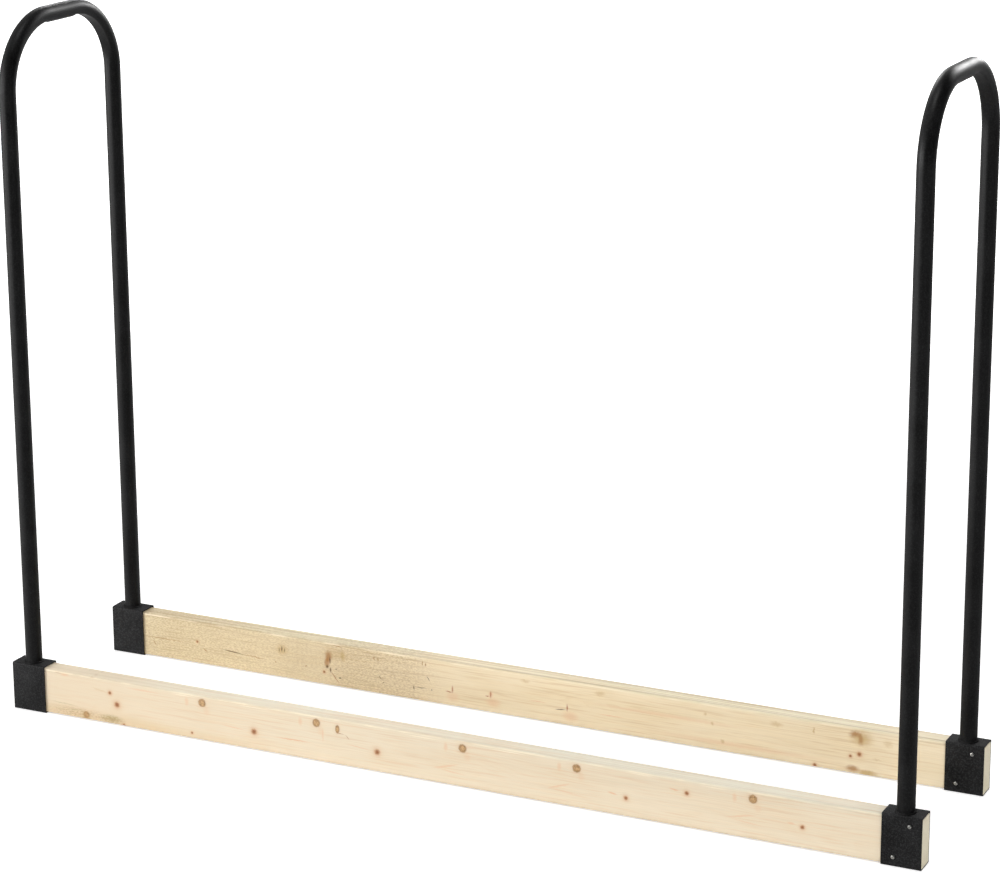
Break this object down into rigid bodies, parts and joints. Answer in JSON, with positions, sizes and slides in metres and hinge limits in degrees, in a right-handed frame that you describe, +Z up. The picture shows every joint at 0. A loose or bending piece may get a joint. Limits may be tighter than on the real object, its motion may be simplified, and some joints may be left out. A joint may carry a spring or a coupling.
{
  "type": "firewood rack",
  "caption": "Open firewood rack: tall bent-tube end hoops welded to steel sleeves that slip over timber rails and are screwed to them.",
  "frame": {"origin": "on the ground, at the middle of the footprint", "axes": "+X along the rails to the right end, +Y to the rear, +Z up"},
  "size_m": [1.829, 0.4044, 1.346],
  "materials": {
    "hoop_coat": "satin black powder coat, fine orange peel",
    "sleeve_coat": "satin black powder coat, fine grained",
    "weld_coat": "satin black powder coat over a weld bead",
    "screw_zinc": "bright zinc plating",
    "front_pine": "planed, unfinished, round brown knots",
    "rear_pine": "planed, unfinished, rougher, with few knots"
  },
  "bodies": {
    "root": {"front_rail": "front_pine", "rear_rail": "rear_pine", "left_hoop": "hoop_coat", "right_hoop": "hoop_coat", "front_left_sleeve": "sleeve_coat", "front_right_sleeve": "sleeve_coat", "rear_left_sleeve": "sleeve_coat", "rear_right_sleeve": "sleeve_coat", "front_left_weld": "weld_coat", "front_right_weld": "weld_coat", "rear_left_weld": "weld_coat", "rear_right_weld": "weld_coat", "front_left_screw_upper": "screw_zinc", "front_left_screw_lower": "screw_zinc", "front_right_screw_upper": "screw_zinc", "front_right_screw_lower": "screw_zinc", "rear_left_screw_upper": "screw_zinc", "rear_left_screw_lower": "screw_zinc", "rear_right_screw_upper": "screw_zinc", "rear_right_screw_lower": "screw_zinc"}
  },
  "joints": []
}
